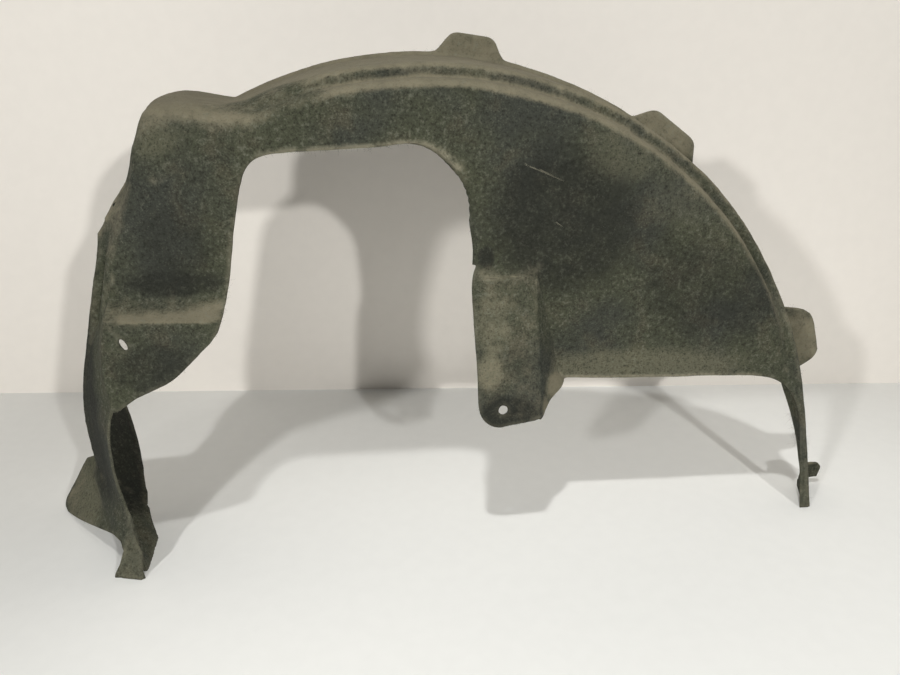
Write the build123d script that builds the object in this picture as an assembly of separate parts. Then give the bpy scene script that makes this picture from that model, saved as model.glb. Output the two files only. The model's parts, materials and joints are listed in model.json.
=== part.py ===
"""Wheel arch liner: one sheet of pressed needle felt, moulded in one piece.

Frame while drawing, in mm: the wheel axle runs along Y through x = 0, z = AXLE_Z. X runs to the
right as seen from the car body, Y from the body towards the outer lip, Z up from the floor the
part stands on. At the end the part is moved so that the origin is the bottom centre of its box.
"""
import os
from math import cos, radians, sin, sqrt, tan

from build123d import *

# Sheet
T = 3.0                  # thickness of the pressed felt
BELOW = 15.0             # raw stock below the floor, trimmed off at the end

# Arch, all radii from the axle
AXLE_Z = 52.0            # height of the axle above the floor
R_BAND = 442.0           # start of the band, above the step
STEP = 14.0              # the wall's outline lies this far inside the band
FLARE = 8.0              # the band opens by this much over its run
LEDGE = 20.0             # depth of the ledge in front of the step
BAND_END = 175.0         # raw end of the band, trimmed by the lip plane
SHOULDER_R = 12.0
BEAD_R = 6.0
BACK = LEDGE + BEAD_R + 4    # the pads and the right leg run into the band down to this depth
RIGHT_END = 7.5          # degrees above the axle where the arch runs straight into the right leg
LEFT_SLOPE = 15.5        # lean of the left side from upright, in degrees
LEG_X, LEG_Z, LEG_R = -171.0, 140.0, 200.0    # the left leg curls under about this centre
CORNER_R = 80.0          # between arch and left side

# Planes of the lip and of the left fixing pad: depth at the axle or floor, lean, swing
LIP_Y, LIP_LEAN, LIP_SWING = 74.0, 0.10, -0.06
FIX_Y, FIX_LEAN = -72.0, 0.18

# Swelling on the arch, top left
BULGE_W, BULGE_H = 136.0, 128.0
BULGE_X, BULGE_Z, BULGE_TURN = -214.0, 395.0, -9.6
BULGE_Y, BULGE_CORNER, BULGE_NOSE = 3.0, 30.0, 24.0

# Left pad
LOBE_X = -303.0          # front of its outer side
LOBE_EDGE, LOBE_RAW = -150.0, 300.0    # raw stock past the cut-out and above the pad
LOBE_FRONT = -90.0
LOBE_TOP = 274.0         # where its ledge meets the wall
LOBE_LEDGE = 0.64        # fall of the ledge
PAD_R = 7.0
LEG_TRIM, LEG_TOP = 7.0, 176.0    # the leg's front edge lies behind the pad's face, below this height
SLOT_X, SLOT_Z, SLOT_W, SLOT_L, SLOT_TURN = -300.0, 237.0, 7.0, 13.0, -58.0

# Tongue
TONGUE_X, TONGUE_W = 50.0, 66.0
TONGUE_TOP, TONGUE_LEDGE = 297.0, 1.6
TONGUE_Y, TONGUE_LEAN = -89.0, 0.29
GUSSET = 30.0            # its right cheek spreads by this much down to the wall's lower edge
TONGUE_TIP = 134.0
BORE_X, BORE_Z, BORE_R = 76.0, 156.0, 5.0

# Cut-out for the strut, and the wall's lower edge
CUT_L, CUT_R, CUT_TOP = -172.0, 40.0, 418.0
CUT_RL, CUT_RR = 34.0, 66.0
RIM = 7.0                # the cut-out's upper right edge is rolled back by this much
EDGE_Z, EDGE_R = 167.0, 60.0

# Right leg
SHIN_X = 431.0           # the wall ends at this line
SHIN_Y = -27.0           # front of its foot

# Lip and its tabs: angle round the axle, outer radius, foot width, head width
LIP_E = 9.0
TABS = (
    (83.0, 471.0, 96.0, 46.0),
    (53.0, 471.0, 112.0, 56.0),
    (15.8, 493.0, 92.0, 56.0),
)

# Skirt at the left foot: a flap on the line from its toe to its heel, and a toe plate
TOE, HEEL, TOE_END = (-332.0, -80.0), (-431.0, 63.0), (-296.0, -88.0)
SKIRT_LEAN = 27.0        # degrees from upright
SKIRT_H, FOLD_R = 84.0, 12.0    # raw height of the sheet, and the fold between flap and plate

# Rear of the two feet on the floor
LEFT_REAR, RIGHT_REAR = 3.0, 23.0
LIP_FOOT = 140.0         # the lip ends at this height over the right foot

# Spur at the right foot
SPUR_X, SPUR_H = 486.0, 27.0


def along_y(sketch, y0, y1):
    """Solid from a sketch drawn as (x, z), between two depths."""
    return extrude(Plane.XZ.offset(-y0) * sketch, amount=y0 - y1)


def along_x(sketch, x0, x1):
    """Solid from a sketch drawn as (y, z), between two stations."""
    return extrude(Plane.YZ.offset(x0) * sketch, amount=x1 - x0)


def area(*points):
    return make_face(Polyline(*points, close=True))


def shrunk(sketch, d):
    return offset(sketch, -d, kind=Kind.INTERSECTION) if d else sketch


def left_side(e, z):
    """Points of the left side grown by e: at height z, at the knee, leftmost, at the raw bottom."""
    r = LEG_R + e
    s = radians(LEFT_SLOPE)
    knee = (LEG_X - r * cos(s), LEG_Z + r * sin(s))
    top = (knee[0] + (z - knee[1]) * tan(s), z)
    foot = (LEG_X - sqrt(r * r - (LEG_Z + BELOW) ** 2), -BELOW)
    return top, knee, (LEG_X - r, LEG_Z), foot


def outline(e):
    """Arch seen along the axle, grown by e."""
    r = R_BAND + e
    a = radians(RIGHT_END)
    s = radians(LEFT_SLOPE)
    start = (r * cos(a), AXLE_Z + r * sin(a))
    foot = (start[0] + (start[1] + BELOW) * tan(a), -BELOW)
    top, knee, far_left, toe = left_side(e, 300.0)
    # the left side runs up from the knee until it meets the circle
    kx, kz = knee[0], knee[1] - AXLE_Z
    b = kx * sin(s) + kz * cos(s)
    run = -b + sqrt(b * b - kx * kx - kz * kz + r * r)
    corner = (kx + run * sin(s), knee[1] + run * cos(s))
    edges = [
        Line(foot, start),
        ThreePointArc(start, (0, AXLE_Z + r), corner),
        Line(corner, knee),
        ThreePointArc(knee, far_left, toe),
        Line(toe, foot),
    ]
    face = make_face(edges)
    at = [v for v in face.vertices() if abs(v.X - corner[0]) < 0.1 and abs(v.Y - corner[1]) < 0.1]
    return fillet(at, CORNER_R + e)


def at_depth(sketch, y):
    return Plane.XZ.offset(-y) * sketch


def rounded_front(solid, y, r):
    """Round the front edges of a raw solid, all but its bottom edge."""
    rim = [k for k in solid.edges() if abs(k.center().Y - y) < 0.01 and k.center().Z > -BELOW + 1]
    return fillet(rim, r)


def main_body(d):
    wall = along_y(outline(-STEP - d), d, LEDGE + 12)
    wall = rounded_front(wall, d, SHOULDER_R - d)
    band = loft([at_depth(outline(-d), LEDGE + d), at_depth(outline(FLARE - d), BAND_END)], ruled=True)
    band = rounded_front(band, LEDGE + d, BEAD_R - d)
    return wall + band


def bulge(d):
    block = Pos(BULGE_X, BULGE_Z) * Rot(0, 0, BULGE_TURN) * RectangleRounded(
        BULGE_W - 2 * d, BULGE_H - 2 * d, BULGE_CORNER - d)
    return rounded_front(along_y(block, BULGE_Y + d, 145), BULGE_Y + d, BULGE_NOSE - d)


def pad_side(top, slope, base, lean, d):
    """Side view (y, z) of a pad: a ledge falls from the wall, then its face leans out to the floor."""
    ridge_y = (base + lean * top) / (1 - lean * slope)
    return shrunk(area(
        (BACK, -BELOW),
        (base - lean * BELOW, -BELOW),
        (ridge_y, top + slope * ridge_y),
        (BACK, top + slope * BACK),
    ), d)


def rounded_pad(solid, side, r):
    """Round the face edges of a raw pad, all but the bottom one and the one at the raw side."""
    face = solid.faces().sort_by(Axis.Y)[0]
    rim = [k for k in face.edges() if k.center().Z > 0 and abs(k.center().X - side) > 6]
    return fillet(rim, r)


def lobe(d):
    """Left pad; its outer side is a twisted sheet from the pad's straight edge to the curled leg."""
    r = LEG_R - d
    crest, foot = ((LEG_X - sqrt(r * r - (z - LEG_Z) ** 2), z) for z in (LOBE_RAW, -BELOW))
    rear = make_face([
        ThreePointArc(crest, (LEG_X - r, LEG_Z), foot),
        Line(foot, (LOBE_EDGE, -BELOW)),
        Line((LOBE_EDGE, -BELOW), (LOBE_EDGE, LOBE_RAW)),
        Line((LOBE_EDGE, LOBE_RAW), crest),
    ])
    front = area(
        (LOBE_X + d, LOBE_RAW),
        (LOBE_X + d, -BELOW),
        (LOBE_EDGE, -BELOW),
        (LOBE_EDGE, LOBE_RAW),
    )
    raw = loft([at_depth(front, LOBE_FRONT), at_depth(rear, BACK)], ruled=True)
    side = pad_side(LOBE_TOP, LOBE_LEDGE, FIX_Y, FIX_LEAN, d)
    return rounded_pad(raw & along_x(side, -450, LOBE_EDGE + 1), LOBE_EDGE, PAD_R - d)


def tongue(d):
    """Pad with the round hole; its right cheek spreads downwards into a gusset."""
    right = TONGUE_X + TONGUE_W
    left = TONGUE_X - 30
    side = pad_side(TONGUE_TOP, TONGUE_LEDGE, TONGUE_Y, TONGUE_LEAN, d)
    low = TONGUE_TIP + 16
    crest = Vector(right, 0, TONGUE_TOP)
    down = Vector(right, TONGUE_Y + TONGUE_LEAN * low, low) - crest
    spread = Vector(right + GUSSET, 0, EDGE_Z) - crest
    normal = down.cross(spread).normalized()
    cheek = Plane(crest - normal * d, z_dir=normal)
    raw = split(along_x(side, left, 260), bisect_by=cheek, keep=Keep.BOTTOM)
    return rounded_pad(raw, left, PAD_R - d)


def shin(d):
    side = shrunk(area(
        (BACK, -BELOW),
        (SHIN_Y - FIX_LEAN * BELOW, -BELOW),
        (BACK, (BACK - SHIN_Y) / FIX_LEAN),
    ), d)
    return along_y(outline(-d), -60, BACK) & along_x(side, 300, 480)


def body(d):
    return main_body(d) + bulge(d) + lobe(d) + tongue(d) + shin(d)


def eased(sketch, *corners):
    """Round the corners of a sketch that lie at the given (x, y, radius)."""
    for x, y, r in corners:
        sketch = fillet(sketch.vertices().sort_by_distance((x, y, 0))[0], r)
    return sketch


def strut_space():
    """Cut-out for the strut, down past the left leg's front edge, seen along the axle."""
    space = area((-284, -40), (-306, 100), (-321, LEG_TOP - 5), (-256, 198), (-206, 246), (CUT_L, CUT_TOP),
                 (CUT_R, CUT_TOP), (TONGUE_X, 170), (TONGUE_X, -40))
    return eased(space, (-256, 198, 70), (-206, 246, 45),
                 (CUT_L, CUT_TOP, CUT_RL), (CUT_R, CUT_TOP, CUT_RR))


def roll(d):
    """Taken out of the body so that the wall bends back round the cut-out's upper right corner."""
    edge = strut_space() & Pos(0, TONGUE_TOP + 103) * Rectangle(900, 200)
    lead = BEAD_R
    wide = Pos(RIM + lead, 0) * edge
    return Pos(0, d * sqrt(2), 0) * loft([at_depth(wide, -lead), at_depth(edge, RIM)], ruled=True)


def opening():
    """Everything taken out of the wall, seen along the axle."""
    under = area((TONGUE_X, -40), (TONGUE_X, EDGE_Z + 5), (SHIN_X - 4, EDGE_Z - 4), (SHIN_X + 12, -40))
    under = eased(under, (SHIN_X - 4, EDGE_Z - 4, EDGE_R))
    return strut_space() + under - tip()


def leg_front():
    """Stock in front of the left leg's edge, below the pad."""
    face = area((-200, -40), (FIX_Y - FIX_LEAN * 40 + LEG_TRIM, -40),
                (FIX_Y + FIX_LEAN * LEG_TOP + LEG_TRIM, LEG_TOP), (-200, LEG_TOP))
    face = eased(face, (FIX_Y + FIX_LEAN * LEG_TOP + LEG_TRIM, LEG_TOP, 14))
    return along_x(face, -360, -280)


def tip():
    """Lower end of the tongue, with the gusset that runs up to the wall's edge."""
    right = TONGUE_X + TONGUE_W
    end = area((TONGUE_X, 200), (TONGUE_X, TONGUE_TIP), (right + 2, TONGUE_TIP + 11),
               (right + 34, EDGE_Z + 5), (right + 34, 200))
    return eased(end, (TONGUE_X, TONGUE_TIP, 23), (right + 2, TONGUE_TIP + 11, 12))


def lip_plane():
    return Plane((0, LIP_Y, 0), x_dir=(1, LIP_SWING, 0), z_dir=(-LIP_SWING, 1, -LIP_LEAN))


def tab(angle, r, foot, head):
    """One tab of the lip, seen along the axle."""
    low = R_BAND - 10
    shape = area((-foot / 2, low), (foot / 2, low), (head / 2, r), (-head / 2, r))
    shape = eased(shape, (head / 2, r, 14), (-head / 2, r, 14))
    return Pos(0, AXLE_Z) * Rot(0, 0, angle - 90) * shape


def lip(inner):
    ring = outline(LIP_E)
    for t in TABS:
        ring = ring + tab(*t)
    sheet = lip_plane() * Pos(0, 0, -T / 2) * Box(1400, 1600, T)
    return (along_y(ring, 0, 200) & sheet) - inner


def leaning(along):
    """Plane on a floor line through the toe, leaning in over the left side of its direction."""
    lean = radians(SKIRT_LEAN)
    left = Vector(-along.Y, along.X, 0).normalized()
    rise = left * sin(lean) + Vector(0, 0, cos(lean))
    return Plane((*TOE, 0), x_dir=along, z_dir=along.cross(rise))


def leaning_block(d):
    """Block whose two leaning sides carry flap and toe plate, with the fold between them."""
    run, edge = (Vector(*p) - Vector(*TOE) for p in (HEEL, TOE_END))
    far = (TOE[0] + 6 * edge.X, TOE[1] + 1.6 * run.Y)
    plan = area(Vector(*TOE), Vector(*TOE) + 6 * edge, far, Vector(*TOE) + 1.6 * run)
    raw = extrude(shrunk(plan, d / cos(radians(SKIRT_LEAN))), SKIRT_H, dir=(0, 0, 1), taper=SKIRT_LEAN)
    sides = [k for k in raw.edges() if k.bounding_box().size.Z > SKIRT_H / 2]
    fold = min(sides, key=lambda k: k.distance_to(Vertex(*TOE, 0)))
    return fillet(fold, FOLD_R - d)


def skirt(inner):
    """Flap and toe plate at the left foot: one leaning sheet, folded and notched at the toe."""
    run, edge = (Vector(*p) - Vector(*TOE) for p in (HEEL, TOE_END))
    u, w = run.length, edge.length
    flap = area((-8, 66), (-4, 37), (-10, 36), (-30, 34), (6 - u, 2), (-14 - u, 4), (2 - u, 58),
                (-120, 90), (-60, 90))
    flap = eased(flap, (-14 - u, 4, 8), (2 - u, 58, 10))
    plate = area((2, 65), (2, 38), (8, 28), (6, 14), (-1, -4), (w, -4), (w - 6, 8), (w - 8, 28),
                 (w - 17, 40), (15, 51), (12, 65))
    sheet = leaning_block(0) - leaning_block(T)
    flap = sheet & extrude(leaning(-run) * flap, 30, both=True)
    return (flap - inner) + (sheet & extrude(leaning(edge) * plate, 30, both=True))


def rear_trim():
    """Stock behind the two feet: both legs run in from the lip towards the floor."""
    left = area((LEFT_REAR, -40), (LEFT_REAR, 0), (LEFT_REAR + 109, 105), (250, 240), (250, -40))
    right = area((RIGHT_REAR, -40), (RIGHT_REAR, 40), (RIGHT_REAR + 35, LIP_FOOT),
                 (250, LIP_FOOT), (250, -40))
    return along_x(left, -370, -200) + along_x(right, 300, 600)


def spur(inner):
    """Small tab at the rear of the right foot."""
    shape = area((440, -4), (SPUR_X - 4, -4), (SPUR_X, SPUR_H * 0.7), (440, SPUR_H + 8))
    shape = eased(shape, (SPUR_X, SPUR_H * 0.7, 9))
    return along_y(shape, RIGHT_REAR - T, RIGHT_REAR) - inner


def fixing_holes():
    slot = Pos(SLOT_X, SLOT_Z) * Rot(0, 0, SLOT_TURN) * SlotOverall(SLOT_L, SLOT_W)
    fix = Plane((0, FIX_Y, 0), x_dir=(1, 0, 0), z_dir=(0, -1, FIX_LEAN))
    pad = Plane((0, TONGUE_Y, 0), x_dir=(1, 0, 0), z_dir=(0, -1, TONGUE_LEAN))
    scale = sqrt(1 + FIX_LEAN ** 2)
    hole = Pos(BORE_X, BORE_Z * sqrt(1 + TONGUE_LEAN ** 2)) * Circle(BORE_R)
    slot = Pos(0, SLOT_Z * (scale - 1)) * slot
    return extrude(fix * slot, amount=20, both=True) + extrude(pad * hole, amount=20, both=True)


def build():
    outer, inner = body(0), body(T)
    liner = (outer - roll(0)) - (inner - roll(T)) - along_y(opening(), -150, 260)
    liner = split(liner, bisect_by=lip_plane(), keep=Keep.BOTTOM)
    liner = liner + lip(inner) - rear_trim() - leg_front()
    liner = liner + skirt(inner - leg_front()) + spur(inner)
    liner = split(liner, bisect_by=Plane.XY, keep=Keep.TOP)
    return liner - fixing_holes()


liner = build()
box = liner.bounding_box()
move = Pos(-(box.min.X + box.max.X) / 2, -(box.min.Y + box.max.Y) / 2, -box.min.Z)
os.makedirs("parts", exist_ok=True)
export_step(move * liner, "parts/liner.step")
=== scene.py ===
"""Looks of a moulded felt wheel arch liner: the worn and dusty sheet with painted shade, loose fibres,
light and camera.
"""
import json
import math
from collections import namedtuple

import bmesh
import bpy
import numpy as np
from mathutils import Euler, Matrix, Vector, noise
from mathutils.bvhtree import BVHTree
from mathutils.kdtree import KDTree


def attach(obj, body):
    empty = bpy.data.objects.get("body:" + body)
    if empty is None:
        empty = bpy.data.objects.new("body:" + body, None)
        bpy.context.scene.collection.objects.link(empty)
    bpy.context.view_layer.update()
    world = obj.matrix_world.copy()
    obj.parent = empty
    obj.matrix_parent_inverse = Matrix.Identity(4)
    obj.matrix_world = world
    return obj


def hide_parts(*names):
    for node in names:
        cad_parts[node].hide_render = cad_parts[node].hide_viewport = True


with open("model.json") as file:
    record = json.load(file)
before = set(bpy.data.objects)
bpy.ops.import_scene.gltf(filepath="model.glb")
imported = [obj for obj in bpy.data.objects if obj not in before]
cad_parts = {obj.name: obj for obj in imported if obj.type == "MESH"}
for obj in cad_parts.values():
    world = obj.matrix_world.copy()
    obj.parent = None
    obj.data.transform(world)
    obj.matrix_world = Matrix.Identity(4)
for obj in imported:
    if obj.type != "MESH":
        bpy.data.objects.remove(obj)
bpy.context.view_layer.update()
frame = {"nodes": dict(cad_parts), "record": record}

# Values with MM are in metres. Places and plain lengths are millimetres of the drawing, which has the
# wheel's axle at x = 0 and the wall's face at y = 0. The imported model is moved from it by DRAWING.
MM = 0.001
DRAWING = Vector((-25.2205, -24.0832, 0.0))


def at(x, y, z):
    """A place of the drawing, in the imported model's frame and in metres."""
    return (Vector((x, y, z)) + DRAWING) * MM


def srgb(red, green, blue):
    """A colour as read on the screen, in 0 to 255, as the linear colour that a shader takes."""
    return tuple(((c / 255 + 0.055) / 1.055) ** 2.4 for c in (red, green, blue)) + (1.0,)


# The sheet, and how its mesh is cut up
SHEET = 3.0 * MM
WELD = 0.02 * MM
EDGE_STEPS = (64 * MM, 32 * MM, 16 * MM, 8 * MM)
SPLIT_ROUNDS = 2

# A cut edge's faces have no other side of the sheet within this depth: start and length of the ray, facing
RIM_START, RIM_DEPTH, RIM_FACING = 0.05 * SHEET, 2.2 * SHEET, -0.6
RIM_REACH, RIM_STEP = 9 * MM, 4.6 * MM

# Evening and rounding: rounds, and the share of the way to the neighbours' mean in each
RELAX_ROUNDS, RELAX_SHARE = 3, 0.5
SOFT_ROUNDS, SOFT_SHARE = 80, 0.5
SOFT_EVERYWHERE = 0.03

# Soft zones and marks keep their full strength up to this share of their radius
CORE = 0.45

# Places where the moulding blends softly: centre, radius, share of the full rounding
SOFT_ZONES = (
    ((-240, -10, 400), 190, 1.0),
    ((75, -30, 250), 110, 0.3),
    ((80, -20, 296), 75, 1.0),
    ((-352, 0, 100), 50, 0.5),
    ((-260, -20, 290), 90, 0.6),
    ((405, 10, 170), 120, 0.5),
    ((-330, -30, 110), 110, 0.2),
)

# Slow unevenness: waves per metre and size, the step between their patterns, and the fade at the floor
WAVES = ((9.0, 1.5 * MM), (27.0, 0.6 * MM), (75.0, 0.25 * MM), (190.0, 0.18 * MM))
WAVE_OFFSET = (3.1, 7.7, 1.3)
FLOOR_FADE = 30 * MM

# The roll of the cut-out's right edge: where it starts, and the heights between which it runs out
ROLL_X, ROLL_LOW, ROLL_HIGH, ROLL_FRONT = 52.2, 299.5, 345, -1.5

# The left leg is a deeper channel than the solid's: how far its fold goes out and its rear edge comes in
LEG_X, LEG_TOP, LEG_OUT, LEG_POWER = -250, 210, 40, 2.1
LEG_IN, LEG_IN_AT, LEG_IN_SPAN = 14, 65, 45
LEG_FRONT, LEG_LEAN = -65, 0.18
LEG_FOLD, LEG_FOLD_SHARE = 22, 0.6
LEG_REAR, LEG_REAR_LEAN, LEG_REAR_MOST = 3, 1.03, 106
LEG_FOOT = (4, 34)
LEG_ARC_X, LEG_ARC_Z, LEG_ARC_R = -171, 140, 200
LEG_FRONT_X, LEG_TWIST, LEG_TWIST_RISE = -303, 0.12, 0.003
FLAP_FOLLOWS, FLAP_STAYS = 8, 26

# The left leg's rear tip comes forward at the floor
TIP_LOW, TIP_HIGH, TIP_FRONT, TIP_REAR = 3, 40, -76, -50
TIP_MOVE = (3, -20, 0)

# The right leg gets narrower towards the floor: share of the solid's depth, by height. Its spur stays.
RIGHT_X, RIGHT_FRONT, RIGHT_LEAN, RIGHT_SPUR = 380, -27, 0.18, (450, 462)
RIGHT_Z = (0, 40, 80, 109, 138)
RIGHT_DEPTH = (0.35, 0.35, 0.45, 0.65, 1.0)

# The fold between pad and leg turns inward, by height
CORNER_X, CORNER_SPAN, CORNER_DEPTH = -332, 46, (-35, 25)
CORNER_Z = (60, 90, 110, 130, 150, 168, 180, 200, 220, 240, 265)
CORNER_MOVE = (0, 0, 2, 4, 7, 13, 12, 8, 5, 3, 0)

# Local moves: centre, radii, move
NUDGES = (
    ((131, 0, 166), (30, 40, 16), (11, 0, 0)),
    ((44, 0, 302), (13, 16, 10), (3, 0, 0)),
    ((-125, 0, 421), (75, 30, 24), (0, 0, -3)),
    ((0, 0, 421), (65, 30, 26), (0, 0, 5)),
    ((480, 22, 8), (36, 30, 40), (4, 0, 12)),
    ((440, 66, 206), (28, 16, 24), (0, 0, 11)),
)

# Dust settles on what faces up: the slope over which it comes in, and rounds of spreading over creases
DUST_SLOPE, DUST_ROUNDS = (0.0, 0.75), 10

# Marks of the felt: centre, radii along x, y and z, strength
# Places where the dust is taken away so that they stay dark: painted shade
PAINTED_SHADE_NO_DUST = (
    ((-335, 20, 80), (130, 220, 215), 0.92),
    ((-275, 8, 278), (110, 44, 26), 0.7),
    ((-325, -20, 270), (40, 30, 24), 0.5),
    ((-150, 10, 466), (80, 50, 26), 0.65),
    ((-290, -5, 440), (30, 60, 60), 0.6),
)
DUSTED = (
    ((64, -40, 194), (20, 30, 26), 0.6),
    ((134, -10, 168), (22, 30, 20), 0.9),
    ((118, -28, 152), (14, 20, 20), 0.8),
    ((-245, -42, 265), (75, 15, 10), 0.9),
)
RUBBED = (
    ((-360, 0, 180), (60, 80, 260), 0.45),
)
# Darker patches, partly painted shade: in the hollow beside the cut-out, above and under the pad's ledge
# and inside the left leg
WORN_AND_SHADE = (
    ((140, 0, 345), (110, 40, 110), 0.75),
    ((92, -40, 205), (20, 40, 36), 0.4),
    ((82, -45, 150), (46, 40, 30), 0.95),
    ((285, 0, 270), (80, 40, 80), 0.55),
    ((225, 0, 320), (70, 40, 50), 0.4),
    ((345, 0, 255), (50, 40, 70), 0.5),
    ((61, 0, 309), (12, 30, 16), 1.0),
    ((-372, 0, 200), (40, 70, 190), 1.0),
    ((-340, 50, 90), (60, 110, 130), 1.0),
    ((-270, -35, 212), (60, 30, 40), 0.6),
    ((-250, 0, 290), (70, 30, 20), 0.7),
    ((-270, -42, 250), (60, 14, 14), 0.7),
    ((-240, 0, 330), (50, 40, 60), 0.45),
)
PALE = (
    ((66, -28, 245), (26, 40, 55), 0.62),
    ((62, -37, 198), (18, 30, 26), 0.9),
    ((134, -10, 168), (24, 40, 20), 0.9),
    ((230, 0, 178), (170, 30, 34), 0.75),
    ((200, 0, 415), (60, 40, 45), 0.4),
    ((262, 0, 368), (60, 40, 55), 0.3),
    ((312, 0, 312), (50, 40, 55), 0.15),
    ((-400, 20, 30), (60, 90, 55), 0.68),
    ((-308, -82, 20), (30, 30, 60), 0.5),
    ((-258, -10, 432), (50, 50, 32), 0.5),
    ((8, 5, 413), (26, 20, 12), 0.6),
    ((32, 5, 390), (14, 20, 26), 0.55),
)
TAB_RADII, TAB_DUST = (60, 40, 50), 0.8

# Cut edges: reach of their pale wear, its strength in general and where it is strongest. The rear has none.
EDGE_WEAR, EDGE_EVERYWHERE, EDGE_FACING = (1.2 * MM, 4.6 * MM), 0.2, 0.3
EDGE_PALE = (
    ((-60, 0, 421), (170, 40, 26), 1.0),
    ((30, 0, 395), (52, 40, 52), 1.0),
    ((260, 0, 168), (190, 40, 26), 0.9),
    ((120, -25, 160), (50, 40, 30), 0.7),
    ((-200, 0, 300), (30, 60, 130), 0.5),
)

# Felt: noises per metre with detail and roughness, from slow tones to single hairs
FELT_NOISES = {
    "slow": (9, 3, 0.5),
    "middle": (28, 4, 0.6),
    "patch": (70, 5, 0.65),
    "grain": (240, 3, 0.6),
    "speck": (560, 3, 0.6),
    "hair": (1300, 2, 0.6),
}
STREAK_NOISE, STREAK_STRETCH = (150, 4, 0.6), (1.0, 1.0, 0.07)
NOISE_MIDDLE, RAGGED_SIZE, RAGGED_PALE = 0.5, 0.9, 0.6

# Felt: colour of each layer, the span over which it comes in, and the most of it that shows
FELT_GREY = srgb(58, 60, 54)
OLIVE, OLIVE_SPAN = srgb(68, 70, 56), (0.38, 0.62)
BROWN, BROWN_SPAN, BROWN_MOST = srgb(80, 76, 62), (0.5, 0.72), 0.55
# The worn tone is also the painted shade of the hollow, the creases at the pad's ledge and the inside of
# the left leg
WORN_AND_SHADE_TONE, WORN_AND_SHADE_SPAN, WORN_AND_SHADE_MOST = srgb(39, 40, 36), (0.1, 0.9), 0.85
STREAK_SPAN, STREAK_MOST = (0.5, 0.72), 0.5
PALE_TONE, PALE_SPAN, PALE_MOST = srgb(104, 102, 84), (0.0, 1.0), 0.85
DUST, DUST_SPAN, DUST_LEAST, DUST_UNEVEN = srgb(122, 116, 97), (0.1, 0.95), 0.35, 0.55
LIGHT_HAIR = srgb(118, 119, 105)
SPECK_SPAN, SPECK_WHERE, SPECK_MOST = (0.53, 0.75), (0.25, 0.65), 0.5
GRAIN_SPAN, GRAIN_WHERE, GRAIN_MOST = (0.52, 0.72), (0.3, 0.6), 0.42
PIT = srgb(33, 33, 29)
DULL_SPAN, DULL_MOST = (0.48, 0.3), 0.5
PIT_SPAN, PIT_MOST = (0.47, 0.3), 0.65
CUT_EDGE, EDGE_SPAN, EDGE_MOST = srgb(146, 141, 121), (0.3, 0.55), 0.8
# How far the worn patches with painted shade, and the dust, hide the specks and pits
WORN_AND_SHADE_HIDES, DUST_HIDES = 0.6, 0.75

# Felt: relief by noise, its strength and depth, and the surface
RELIEF = {"speck": 0.6, "hair": 0.35, "grain": 0.6}
BUMP_STRENGTH, BUMP_DEPTH = 0.7, 1.2 * MM
FELT_SURFACE = {"Roughness": 0.95, "Specular IOR Level": 0.08, "Sheen Weight": 0.02, "Sheen Roughness": 0.6}

# Loose hairs: how many, lengths, how far they stand up and stray sideways, tone from dark 0 to pale 1
Hairs = namedtuple("Hairs", "count length lift spread tone")
EDGE_HAIRS = Hairs(1900, (1.2 * MM, 4.0 * MM), 1.0, 0.7, (0.2, 0.8))
FACE_HAIRS = Hairs(800, (2.0 * MM, 6.0 * MM), 0.35, 0.8, (0.0, 0.35))
CLUMP_SCALE, CLUMP_LEAST = 26.0, -0.05
HAIR_FLOOR = FLOOR_FADE / 3

# Frayed tufts of the cut edges: centre, radius, hairs
TUFT_FORM = (0.8, 0.7, (0.0, 0.4))
TUFTS = (
    ((438, 14, 84), 20, Hairs(130, (4 * MM, 10 * MM), *TUFT_FORM)),
    ((-201, 0, 268), 24, Hairs(16, (4 * MM, 8 * MM), *TUFT_FORM)),
    ((-26, 0, 421), 30, Hairs(40, (2 * MM, 6 * MM), *TUFT_FORM)),
)

# Scratches of the wall, as x and z of both ends, and the pale strands that show each
SCRATCHES = (((97, 401), (138, 384)), ((112, 396), (128, 389)), ((131, 344), (139, 338)))
SCRATCH_STRANDS, SCRATCH_SPREAD, SCRATCH_TONE = 7, 0.5, (0.5, 0.9)
WALL_FACING = -0.6

# One hair: rings along it, corners of a ring, radius, loss of radius to its tip, bend. The skew keeps the
# direction across a hair from vanishing.
FIBRE_RINGS, FIBRE_SIDES = 4, 3
FIBRE_WIDTH, FIBRE_TAPER, FIBRE_BEND, FIBRE_SKEW = 0.07 * MM, 0.7, 0.35, 0.01
FIBRE_PALE = srgb(150, 146, 128)
FIBRE_DARK = srgb(58, 57, 50)
FIBRE_NOISE, FIBRE_BLOTCH = (300, 2), 0.3
FIBRE_SURFACE = {"Roughness": 0.9, "Specular IOR Level": 0.2}

# Seed of the hairs' random draws and of the waves' noise
SEED = 11

# Camera: 28 mm lens on a 36 mm frame, angles in degrees
CAMERA_AT = (-36, -685, 500)
CAMERA_DOWN, CAMERA_TURN = 22.0, 5.0
LENS, SENSOR = 28.0, 36.0

# Stage, in metres and degrees
BACKDROP_AWAY, BACKDROP_TURN = 1.019, 3.5
BACKDROP_WIDTH, BACKDROP_HEIGHT = 5.0, 2.4
FLOOR_REACH = 5.0
FLOOR_PAINT = srgb(240, 240, 237)
BACKDROP_PAINT = srgb(247, 241, 233)
PAINT_NOISE, PAINT_SPAN, PAINT_MOST, PAINT_SHADE = (60, 3), (0.3, 0.7), 0.35, 0.96
PAINT_SURFACE = {"Roughness": 0.6, "Specular IOR Level": 0.2}

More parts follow.
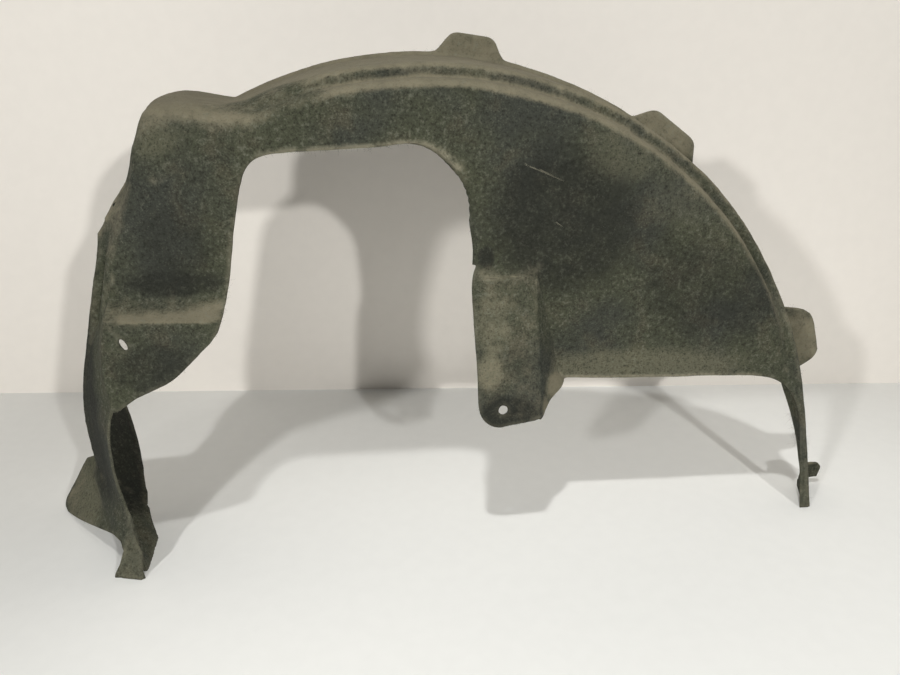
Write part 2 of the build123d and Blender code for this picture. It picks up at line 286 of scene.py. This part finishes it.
# Light: the sky's strength as light and where it is seen, then lamps with sizes in metres and watts
AMBIENT, SKY_SEEN = 0.09, 0.75
LAMP_COLOUR = (1.0, 1.0, 0.985)
LAMP_AIM = (0, 50, 230)
LAMPS = (
    ("left_lamp", (-1010, -1307, 1000), 0.13, 13.0),
    ("right_lamp", (807, -1943, 1127), 0.09, 20.0),
)
TOP_LAMP_AT, TOP_LAMP_AIM = (-145, -554, 2038), (260, -310, 0)
TOP_LAMP_SIZE, TOP_LAMP_POWER, TOP_LAMP_CONE = 0.05, 66.0, 50.0


# Helpers
def smooth_step(low, high, value):
    """0 below low, 1 above high, smooth between."""
    t = np.clip((value - low) / (high - low), 0, 1)
    return t * t * (3 - 2 * t)


def unit(vectors):
    return vectors / np.linalg.norm(vectors, axis=1)[:, None]


def read(items, name, width, kind=np.float64):
    """One property of all items, as an array with a row for each."""
    values = np.empty(len(items) * width, kind)
    items.foreach_get(name, values)
    return values.reshape(-1, width) if width > 1 else values


def drawn(points):
    """x, y and z of the points in the drawing, in millimetres."""
    return (points / MM - np.array(DRAWING)).T


def nearness(points, centre, radii, core):
    """1 in the core of a ball around a place of the drawing, 0 outside its radii, smooth between."""
    away = np.linalg.norm((points - np.array(at(*centre))) / (np.array(radii) * MM), axis=1)
    return 1 - smooth_step(core, 1.0, away)


def new_object(name, data):
    made = bpy.data.objects.new(name, data)
    bpy.context.scene.collection.objects.link(made)
    return made


def shade_smooth(mesh):
    mesh.polygons.foreach_set("use_smooth", np.ones(len(mesh.polygons), bool))


def place_tree(places):
    """A search tree for the nearest of some places."""
    tree = KDTree(len(places))
    for i, place in enumerate(places):
        tree.insert(place, i)
    tree.balance()
    return tree


# The sheet's mesh
def split(bm, edges):
    """Cuts edges in two, and the faces beside them into triangles."""
    bmesh.ops.subdivide_edges(bm, edges=edges, cuts=1)
    many_sided = [f for f in bm.faces if len(f.verts) > 3]
    bmesh.ops.triangulate(bm, faces=many_sided)


def even_mesh(source):
    """A copy of the solid's mesh with its long triangles cut up."""
    bm = bmesh.new()
    bm.from_mesh(source)
    bmesh.ops.remove_doubles(bm, verts=bm.verts, dist=WELD)
    bmesh.ops.triangulate(bm, faces=bm.faces)
    for limit in EDGE_STEPS:
        for _ in range(SPLIT_ROUNDS):
            split(bm, [e for e in bm.edges if e.calc_length() > limit])
    bm.normal_update()
    mesh = bpy.data.meshes.new("liner_felt")
    bm.to_mesh(mesh)
    bm.free()
    return mesh


def rim_faces(mesh):
    """True for the faces of the cut edges: no face of the sheet's other side lies behind them."""
    tree = BVHTree.FromPolygons([v.co for v in mesh.vertices], [p.vertices[:] for p in mesh.polygons])
    found = np.zeros(len(mesh.polygons), bool)
    for i, face in enumerate(mesh.polygons):
        hit = tree.ray_cast(face.center - face.normal * RIM_START, -face.normal, RIM_DEPTH)
        found[i] = hit[0] is None or hit[1].dot(face.normal) > RIM_FACING
    return found


def rim_points(mesh, rim):
    """True for the corners of the cut edges' faces."""
    corners = read(mesh.polygons, "vertices", 3, np.int32)
    found = np.zeros(len(mesh.vertices), bool)
    found[corners[rim].ravel()] = True
    return found


def finer_rims(mesh):
    """Cuts the triangles beside the cut edges once more, so that wear can follow the edge closely."""
    tree = place_tree(read(mesh.vertices, "co", 3)[rim_points(mesh, rim_faces(mesh))])

    def is_near(edge):
        return all(tree.find(v.co)[2] < RIM_REACH for v in edge.verts)

    bm = bmesh.new()
    bm.from_mesh(mesh)
    for _ in range(SPLIT_ROUNDS):
        split(bm, [e for e in bm.edges if e.calc_length() > RIM_STEP and is_near(e)])
    bm.to_mesh(mesh)
    bm.free()
    mesh.validate()


def edge_lines(mesh, rim):
    """The edges between a cut edge's own faces and the sheet's two sides."""
    sides = read(mesh.loops, "edge_index", 1, np.int32)
    cut = np.bincount(sides, np.repeat(rim, 3).astype(float), len(mesh.edges))
    return read(mesh.edges, "vertices", 2, np.int32)[cut == 1]


def edges_at(points, edges):
    """How many of the edges meet at each point."""
    return np.bincount(edges.ravel(), minlength=len(points)).astype(float)


def neighbour_mean(points, edges, count):
    """The mean of the points that edges join to each point."""
    total = np.zeros_like(points)
    for axis in range(3):
        total[:, axis] = np.bincount(edges[:, 0], points[edges[:, 1], axis], len(points))
        total[:, axis] += np.bincount(edges[:, 1], points[edges[:, 0], axis], len(points))
    return total / np.maximum(count, 1)[:, None]


# Bends of the sheet that the solid leaves out
def run_out(points):
    """Flattens the rolled edge little by little towards the tongue."""
    x, y, z = drawn(points)
    rolled = (z > ROLL_LOW) & (x > 0) & (y > ROLL_FRONT)
    back = np.maximum(ROLL_X - x, 0) * (1 - smooth_step(ROLL_LOW, ROLL_HIGH, z)) * rolled
    return points - np.outer(back * MM, (0, 1, 0))


def leg_channel(points):
    """Bends the left leg to a deeper channel between its edges. The flap's outer part stays."""
    x, y, z = drawn(points)
    front = LEG_FRONT + LEG_LEAN * z
    rear = np.minimum(LEG_REAR_MOST, LEG_REAR + LEG_REAR_LEAN * z)
    fold = np.minimum(LEG_FOLD, LEG_FOLD_SHARE * rear + (1 - LEG_FOLD_SHARE) * front)
    out = LEG_OUT * np.clip((LEG_TOP - z) / LEG_TOP, 0, 1) ** LEG_POWER
    inward = LEG_IN * np.exp(-((z - LEG_IN_AT) / LEG_IN_SPAN) ** 2)
    to_fold = np.clip((y - front) / (fold - front), 0, 1)
    to_rear = np.clip((y - fold) / np.maximum(rear - fold, 1), 0, 1)
    move = (-out * to_fold + (out + inward) * to_rear) * smooth_step(*LEG_FOOT, z)
    fold_x = LEG_ARC_X - np.sqrt(np.maximum(LEG_ARC_R ** 2 - (z - LEG_ARC_Z) ** 2, 0))
    front_x = LEG_FRONT_X + (LEG_TWIST + LEG_TWIST_RISE * z) * (fold_x - LEG_FRONT_X)
    leg_x = front_x + (fold_x - front_x) * np.clip((y - front) / (LEG_FOLD - front), 0, 1)
    move *= 1 - smooth_step(FLAP_FOLLOWS, FLAP_STAYS, leg_x - x)
    move *= (x < LEG_X) * (z < LEG_TOP)
    tip = (1 - smooth_step(TIP_LOW, TIP_HIGH, z)) * smooth_step(TIP_FRONT, TIP_REAR, y) * (x < LEG_X)
    return points + np.outer(move * MM, (1, 0, 0)) + np.outer(tip * MM, TIP_MOVE)


def right_leg(points):
    """Brings the right leg's rear edge forward."""
    x, y, z = drawn(points)
    depth = np.maximum(y - RIGHT_FRONT - RIGHT_LEAN * z, 0)
    forward = depth * (1 - np.interp(z, RIGHT_Z, RIGHT_DEPTH)) * (x > RIGHT_X)
    forward *= 1 - smooth_step(*RIGHT_SPUR, x)
    return points - np.outer(forward * MM, (0, 1, 0))


def pad_corner(points):
    """Turns the fold between pad and leg inward, most at the corner of the cut edge."""
    x, y, z = drawn(points)
    size = np.interp(z, CORNER_Z, CORNER_MOVE)
    size *= 1 - smooth_step(0, CORNER_SPAN, np.abs(x - CORNER_X))
    size *= 1 - smooth_step(*CORNER_DEPTH, y)
    return points + np.outer(size * MM, (1, 0, 0))


def nudge(points):
    """Small local moves."""
    for centre, radii, move in NUDGES:
        points = points + np.outer(nearness(points, centre, radii, 0) * MM, move)
    return points


def relax(mesh, points, edges, free):
    """Evens the triangles on the solid's own surface. The cut edges stay."""
    surface = BVHTree.FromPolygons(points.tolist(), [p.vertices[:] for p in mesh.polygons])
    count = edges_at(points, edges)
    for _ in range(RELAX_ROUNDS):
        moved = points + RELAX_SHARE * (neighbour_mean(points, edges, count) - points)
        for i in np.flatnonzero(free):
            points[i] = surface.find_nearest(moved[i])[0]
    return points


def softness(points):
    """How far each point takes part in the rounding."""
    share = np.full(len(points), SOFT_EVERYWHERE)
    for centre, radius, most in SOFT_ZONES:
        share = np.maximum(share, most * nearness(points, centre, radius, CORE))
    return share


def soften(points, edges, lines, free):
    """Rounds the creases where the moulding is soft.

    The cut edges are rounded along their own lines only, so the sheet keeps its thickness there.
    """
    count = edges_at(points, edges)
    line_count = edges_at(points, lines)
    soft = SOFT_SHARE * softness(points)
    share = soft * (free | (line_count == 0))
    line_share = soft * (line_count == 2) * (points[:, 2] > FLOOR_FADE)
    for _ in range(SOFT_ROUNDS):
        points += share[:, None] * (neighbour_mean(points, edges, count) - points)
        points += line_share[:, None] * (neighbour_mean(points, lines, line_count) - points)
    return points


def wave(points):
    """Slow unevenness that moves both sides of the sheet alike and fades out at the floor."""
    shift = np.zeros_like(points)
    for step, (scale, size) in enumerate(WAVES):
        offset = Vector([part * step for part in WAVE_OFFSET])
        shift += [noise.noise_vector(Vector(p) * scale + offset) * size for p in points]
    fade = smooth_step(0, FLOOR_FADE, points[:, 2])
    return points + shift * fade[:, None]


def liner_mesh():
    """The felt sheet, and which of its faces are cut edges."""
    mesh = even_mesh(frame["nodes"]["liner"].data)
    finer_rims(mesh)
    rim = rim_faces(mesh)
    free = ~rim_points(mesh, rim)
    edges = read(mesh.edges, "vertices", 2, np.int32)
    points = relax(mesh, read(mesh.vertices, "co", 3), edges, free)
    for bend in (run_out, leg_channel, right_leg, pad_corner, nudge):
        points = bend(points)
    points = wave(soften(points, edges, edge_lines(mesh, rim), free))
    points[:, 2] = np.maximum(points[:, 2], 0)
    mesh.vertices.foreach_set("co", points.ravel())
    mesh.update()
    shade_smooth(mesh)
    return mesh, rim


# Marks, as attributes that the materials read
def add_attribute(mesh, name, values):
    made = mesh.attributes.new(name, "FLOAT", "POINT")
    made.data.foreach_set("value", values.astype(np.float32))


def marks(points, places):
    """The strongest of some soft marks at each point."""
    total = np.zeros(len(points))
    for centre, radii, most in places:
        total = np.maximum(total, most * nearness(points, centre, radii, CORE))
    return total


def tab_marks():
    """A dusty mark on each tab of the lip, at its mount."""
    tabs = [m for m in frame["record"]["mounts"] if m["name"].startswith("lip_tab")]
    return tuple((Vector(m["pos_m"]) / MM - DRAWING, TAB_RADII, TAB_DUST) for m in tabs)


def settled_dust(mesh, points, normals):
    """Dust on what faces up, spread a little over creases, and taken away where shade is painted."""
    edges = read(mesh.edges, "vertices", 2, np.int32)
    count = edges_at(points, edges)
    facing = normals.copy()
    for _ in range(DUST_ROUNDS):
        facing = 0.5 * (facing + neighbour_mean(facing, edges, count))
    return smooth_step(*DUST_SLOPE, facing[:, 2]) * (1 - marks(points, PAINTED_SHADE_NO_DUST))


def edge_wear(mesh, points, normals, rim):
    """Pale wear along the cut edges, none at the rear."""
    tree = place_tree(points[rim_points(mesh, rim)])
    away = np.array([tree.find(p)[2] for p in points])
    strength = np.maximum(EDGE_EVERYWHERE, marks(points, EDGE_PALE))
    return (1 - smooth_step(*EDGE_WEAR, away)) * (normals[:, 1] < EDGE_FACING) * strength


def paint_marks(mesh, rim):
    """Dust, rubbed and pale patches, worn patches with painted shade, and the wear of the cut edges."""
    points = read(mesh.vertices, "co", 3)
    normals = read(mesh.vertex_normals, "vector", 3)
    settled = settled_dust(mesh, points, normals)
    add_attribute(mesh, "dust", np.maximum(settled, marks(points, DUSTED + tab_marks())))
    add_attribute(mesh, "rubbed", marks(points, RUBBED))
    add_attribute(mesh, "worn_and_shade", marks(points, WORN_AND_SHADE))
    add_attribute(mesh, "pale", marks(points, PALE))
    add_attribute(mesh, "edge", edge_wear(mesh, points, normals, rim))


# Materials
class Graph:
    """Short forms for the nodes of one material or world."""

    def __init__(self, owner):
        owner.use_nodes = True
        self.owner = owner
        self.tree = owner.node_tree
        self.tree.nodes.clear()

    def node(self, kind, inputs, **settings):
        made = self.tree.nodes.new(kind)
        for key, value in settings.items():
            setattr(made, key, value)
        for key, value in inputs.items():
            if isinstance(value, bpy.types.NodeSocket):
                self.tree.links.new(value, made.inputs[key])
            else:
                made.inputs[key].default_value = value
        return made

    def place(self):
        return self.node("ShaderNodeTexCoord", {}).outputs["Object"]

    def stretched(self, scale):
        return self.node("ShaderNodeMapping", {"Vector": self.place(), "Scale": scale}).outputs["Vector"]

    def noise(self, scale, detail=2.0, roughness=0.5, vector=None):
        inputs = {"Vector": vector or self.place(), "Scale": scale, "Detail": detail}
        return self.node("ShaderNodeTexNoise", inputs | {"Roughness": roughness}).outputs["Fac"]

    def attribute(self, name):
        return self.node("ShaderNodeAttribute", {}, attribute_name=name).outputs["Fac"]

    def math(self, operation, a, b):
        return self.node("ShaderNodeMath", {0: a, 1: b}, operation=operation).outputs[0]

    def plus(self, a, b):
        return self.math("ADD", a, b)

    def minus(self, a, b):
        return self.math("SUBTRACT", a, b)

    def times(self, a, b):
        return self.math("MULTIPLY", a, b)

    def span(self, value, low, high):
        """0 at low, 1 at high, smooth between."""
        inputs = {"Value": value, "From Min": low, "From Max": high}
        made = self.node("ShaderNodeMapRange", inputs, interpolation_type="SMOOTHSTEP")
        return made.outputs["Result"]

    def mix(self, share, a, b):
        return self.node("ShaderNodeMix", {0: share, 6: a, 7: b}, data_type="RGBA").outputs[2]

    def principled(self, colour, surface):
        inputs = {"Base Color": colour} | surface
        return self.node("ShaderNodeBsdfPrincipled", inputs).outputs["BSDF"]

    def finish(self, shader, kind="ShaderNodeOutputMaterial"):
        self.node(kind, {"Surface": shader})
        return self.owner


def felt_colour(graph, noises):
    """Layers of the felt's colour: ground, worn patches with painted shade, pale patches, dust, hairs, pits
    and cut edges.
    """
    ragged = graph.times(graph.minus(noises["patch"], NOISE_MIDDLE), RAGGED_SIZE)
    colour = graph.mix(graph.span(noises["slow"], *OLIVE_SPAN), FELT_GREY, OLIVE)
    brown = graph.span(noises["middle"], *BROWN_SPAN)
    colour = graph.mix(graph.times(brown, BROWN_MOST), colour, BROWN)

    # Worn patches, and painted shade in the hollow, at the pad's ledge and inside the left leg
    worn_and_shade = graph.span(graph.plus(graph.attribute("worn_and_shade"), ragged), *WORN_AND_SHADE_SPAN)
    colour = graph.mix(graph.times(worn_and_shade, WORN_AND_SHADE_MOST), colour, WORN_AND_SHADE_TONE)
    streak = graph.span(graph.noise(*STREAK_NOISE, graph.stretched(STREAK_STRETCH)), *STREAK_SPAN)
    rubbed = graph.times(graph.attribute("rubbed"), streak)
    colour = graph.mix(graph.times(rubbed, STREAK_MOST), colour, OLIVE)
    pale = graph.plus(graph.attribute("pale"), graph.times(ragged, RAGGED_PALE))
    colour = graph.mix(graph.times(graph.span(pale, *PALE_SPAN), PALE_MOST), colour, PALE_TONE)

    dusty = graph.span(graph.plus(graph.attribute("dust"), ragged), *DUST_SPAN)
    both = graph.plus(noises["patch"], noises["middle"])
    uneven = graph.plus(DUST_LEAST, graph.times(both, DUST_UNEVEN))
    colour = graph.mix(graph.times(dusty, uneven), colour, DUST)

    plain = graph.minus(1.0, graph.times(worn_and_shade, WORN_AND_SHADE_HIDES))
    patches = graph.span(noises["middle"], *SPECK_WHERE)
    specks = graph.times(graph.span(noises["speck"], *SPECK_SPAN), patches)
    colour = graph.mix(graph.times(specks, graph.times(plain, SPECK_MOST)), colour, LIGHT_HAIR)
    patches = graph.span(noises["slow"], *GRAIN_WHERE)
    grains = graph.times(graph.span(noises["grain"], *GRAIN_SPAN), patches)
    colour = graph.mix(graph.times(grains, graph.times(plain, GRAIN_MOST)), colour, LIGHT_HAIR)

    bare = graph.minus(1.0, graph.times(dusty, DUST_HIDES))
    dull = graph.times(graph.span(noises["grain"], *DULL_SPAN), graph.times(bare, DULL_MOST))
    colour = graph.mix(dull, colour, PIT)
    pits = graph.times(graph.span(noises["speck"], *PIT_SPAN), graph.times(bare, PIT_MOST))
    colour = graph.mix(pits, colour, PIT)

    edge = graph.times(graph.attribute("edge"), graph.span(noises["patch"], *EDGE_SPAN))
    return graph.mix(graph.times(edge, EDGE_MOST), colour, CUT_EDGE)


def felt_material():
    graph = Graph(bpy.data.materials.new("felt"))
    noises = {name: graph.noise(*values) for name, values in FELT_NOISES.items()}
    speck, hair, grain = (graph.times(noises[name], share) for name, share in RELIEF.items())
    height = graph.plus(graph.plus(speck, hair), grain)
    relief = {"Strength": BUMP_STRENGTH, "Distance": BUMP_DEPTH, "Height": height}
    bump = graph.node("ShaderNodeBump", relief).outputs["Normal"]
    return graph.finish(graph.principled(felt_colour(graph, noises), FELT_SURFACE | {"Normal": bump}))


def fibre_material():
    graph = Graph(bpy.data.materials.new("fibre"))
    blotch = graph.times(graph.noise(*FIBRE_NOISE), FIBRE_BLOTCH)
    colour = graph.mix(graph.plus(graph.attribute("tone"), blotch), FIBRE_DARK, FIBRE_PALE)
    return graph.finish(graph.principled(colour, FIBRE_SURFACE))


def paint_material(name, colour, see_through_behind):
    """Matt paint with a faint mottle."""
    graph = Graph(bpy.data.materials.new(name))
    shaded = tuple(PAINT_SHADE * c for c in colour[:3]) + (1.0,)
    mottle = graph.times(graph.span(graph.noise(*PAINT_NOISE), *PAINT_SPAN), PAINT_MOST)
    shader = graph.principled(graph.mix(mottle, colour, shaded), PAINT_SURFACE)
    if see_through_behind:
        behind = graph.node("ShaderNodeNewGeometry", {}).outputs["Backfacing"]
        clear = graph.node("ShaderNodeBsdfTransparent", {}).outputs["BSDF"]
        shader = graph.node("ShaderNodeMixShader", {0: behind, 1: shader, 2: clear}).outputs["Shader"]
    return graph.finish(shader)


# Loose fibres
Faces = namedtuple("Faces", "centres normals areas")


def hairs(rng, faces, where, kind):
    """Roots, directions, lengths, bends and tones of hairs on some of the faces."""
    share = faces.areas * where
    chosen = rng.choice(len(share), kind.count, p=share / share.sum())
    sideways = rng.normal(size=(kind.count, 3))
    lengths = rng.uniform(*kind.length, kind.count)
    bends = rng.normal(size=(kind.count, 3)) * FIBRE_BEND
    tones = rng.uniform(*kind.tone, kind.count)
    normals = faces.normals[chosen]
    roots = faces.centres[chosen] - normals * FIBRE_WIDTH
    return roots, unit(normals * kind.lift + sideways * kind.spread), lengths, bends, tones


def scratch_strand(rng, faces, wall, ends):
    """One straight pale strand along a scratch of the wall, in the same form as hairs."""
    start, end = (np.array(e) + rng.normal(size=2) * SCRATCH_SPREAD for e in ends)
    tones = rng.uniform(*SCRATCH_TONE, 1)
    tips = np.array([at(start[0], 0, start[1]), at(end[0], 0, end[1])])
    for tip in tips:
        nearest = np.argmin(np.sum((faces.centres[wall] - tip)[:, ::2] ** 2, axis=1))
        tip[1] = faces.centres[wall[nearest], 1]
    run = tips[1:] - tips[:1]
    return tips[:1], unit(run), np.linalg.norm(run, axis=1), np.zeros((1, 3)), tones


def all_hairs(mesh, rim):
    """Hairs of the cut edges and faces, a few frayed tufts and the strands of the scratches."""
    rng = np.random.default_rng(SEED)
    faces = Faces(read(mesh.polygons, "center", 3), read(mesh.polygons, "normal", 3),
                  read(mesh.polygons, "area", 1))
    clump = np.array([noise.noise(Vector(c) * CLUMP_SCALE) for c in faces.centres])
    off_floor = faces.centres[:, 2] > HAIR_FLOOR
    made = [hairs(rng, faces, rim & off_floor & (clump > CLUMP_LEAST), EDGE_HAIRS),
            hairs(rng, faces, ~rim & off_floor, FACE_HAIRS)]
    for centre, radius, kind in TUFTS:
        near = np.linalg.norm(faces.centres - np.array(at(*centre)), axis=1) < radius * MM
        made.append(hairs(rng, faces, rim & near, kind))
    wall = np.flatnonzero(faces.normals[:, 1] < WALL_FACING)
    for ends in SCRATCHES:
        for _ in range(SCRATCH_STRANDS):
            made.append(scratch_strand(rng, faces, wall, ends))
    return [np.concatenate(column) for column in zip(*made)]


def fibre_mesh(roots, directions, lengths, bends, tones):
    """Thin tapered hairs, each bent once along its length."""
    along = np.linspace(0, 1, FIBRE_RINGS)
    way = along[None, :, None]
    reach = lengths[:, None, None]
    spine = roots[:, None] + directions[:, None] * way * reach + bends[:, None] * way ** 2 * reach
    side = unit(np.cross(directions, np.roll(directions, 1, axis=1) + FIBRE_SKEW))
    other = np.cross(directions, side)
    turn = np.arange(FIBRE_SIDES) * 2 * math.pi / FIBRE_SIDES
    ring = side[:, None] * np.cos(turn)[None, :, None] + other[:, None] * np.sin(turn)[None, :, None]
    taper = FIBRE_WIDTH * (1 - FIBRE_TAPER * along)
    points = spine[:, :, None] + ring[:, None] * taper[None, :, None, None]
    step = FIBRE_RINGS * FIBRE_SIDES
    one = [tuple(range(FIBRE_SIDES))[::-1], tuple(range(step - FIBRE_SIDES, step))]
    for start in range(0, step - FIBRE_SIDES, FIBRE_SIDES):
        for k in range(FIBRE_SIDES):
            a = start + k
            b = start + (k + 1) % FIBRE_SIDES
            one.append((a, b, b + FIBRE_SIDES, a + FIBRE_SIDES))
    faces = [tuple(i + n * step for i in face) for n in range(len(roots)) for face in one]
    mesh = bpy.data.meshes.new("felt_fibres")
    mesh.from_pydata(points.reshape(-1, 3).tolist(), [], faces)
    shade_smooth(mesh)
    add_attribute(mesh, "tone", np.repeat(tones, step))
    return mesh


# The pieces
def make_fibres(mesh, rim):
    fibres = new_object("felt_fibres", fibre_mesh(*all_hairs(mesh, rim)))
    fibres.data.materials.append(fibre_material())
    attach(fibres, "root")


def make_liner(mesh):
    mesh.materials.clear()
    mesh.materials.append(felt_material())
    liner = new_object("liner_felt", mesh)
    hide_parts("liner")
    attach(liner, "root")


# Stage, light and camera
def panel(name, corners, material):
    mesh = bpy.data.meshes.new(name)
    mesh.from_pydata(corners, [], [(0, 1, 2, 3)])
    mesh.materials.append(material)
    made = new_object(name, mesh)


def make_stage():
    """A floor, and a backdrop across the camera's view that is clear from behind."""
    r = FLOOR_REACH
    floor = [(-r, -r, 0), (r, -r, 0), (r, r, 0), (-r, r, 0)]
    panel("floor", floor, paint_material("floor_paint", FLOOR_PAINT, False))
    eye = at(*CAMERA_AT)
    turn = math.radians(CAMERA_TURN)
    foot = Vector((eye.x + math.sin(turn) * BACKDROP_AWAY, eye.y + math.cos(turn) * BACKDROP_AWAY, 0))
    tilt = math.radians(BACKDROP_TURN)
    along = Vector((math.cos(tilt), -math.sin(tilt), 0)) * BACKDROP_WIDTH / 2
    up = Vector((0, 0, BACKDROP_HEIGHT))
    backdrop = [foot - along, foot + along, foot + along + up, foot - along + up]
    panel("backdrop", backdrop, paint_material("backdrop_paint", BACKDROP_PAINT, True))


def lamp(name, kind, place, aim, power):
    data = bpy.data.lights.new(name, kind)
    data.energy = power
    data.color = LAMP_COLOUR
    made = new_object(name, data)
    made.location = at(*place)
    made.rotation_euler = (at(*aim) - made.location).to_track_quat("-Z", "Y").to_euler()
    return data


def make_sky():
    """A dim sky that is brighter where a camera, glossy or transmission ray sees it."""
    graph = Graph(bpy.data.worlds.new("studio"))
    rays = graph.node("ShaderNodeLightPath", {}).outputs
    seen = rays["Is Camera Ray"]
    for kind in ("Is Glossy Ray", "Is Transmission Ray"):
        seen = graph.math("MAXIMUM", seen, rays[kind])
    levels = {"Value": seen, "To Min": AMBIENT, "To Max": SKY_SEEN}
    strength = graph.node("ShaderNodeMapRange", levels).outputs["Result"]
    sky = graph.node("ShaderNodeBackground", {"Color": LAMP_COLOUR + (1.0,), "Strength": strength})
    bpy.context.scene.world = graph.finish(sky.outputs["Background"], "ShaderNodeOutputWorld")


def make_lamps():
    for name, place, size, power in LAMPS:
        side = lamp(name, "AREA", place, LAMP_AIM, power)
        side.shape = "DISK"
        side.size = size
    top = lamp("top_lamp", "SPOT", TOP_LAMP_AT, TOP_LAMP_AIM, TOP_LAMP_POWER)
    top.shadow_soft_size = TOP_LAMP_SIZE
    top.spot_size = math.radians(TOP_LAMP_CONE)
    top.spot_blend = 1.0


def make_camera():
    data = bpy.data.cameras.new("camera")
    data.lens = LENS
    data.sensor_width = SENSOR
    made = new_object("camera", data)
    made.location = at(*CAMERA_AT)
    made.rotation_euler = Euler((math.radians(90 - CAMERA_DOWN), 0, math.radians(-CAMERA_TURN)))
    bpy.context.scene.camera = made


noise.seed_set(SEED)
felt_mesh, cut_edges = liner_mesh()
paint_marks(felt_mesh, cut_edges)
make_fibres(felt_mesh, cut_edges)
make_liner(felt_mesh)
make_stage()
make_sky()
make_lamps()
make_camera()
bpy.context.scene.view_settings.view_transform = "Standard"
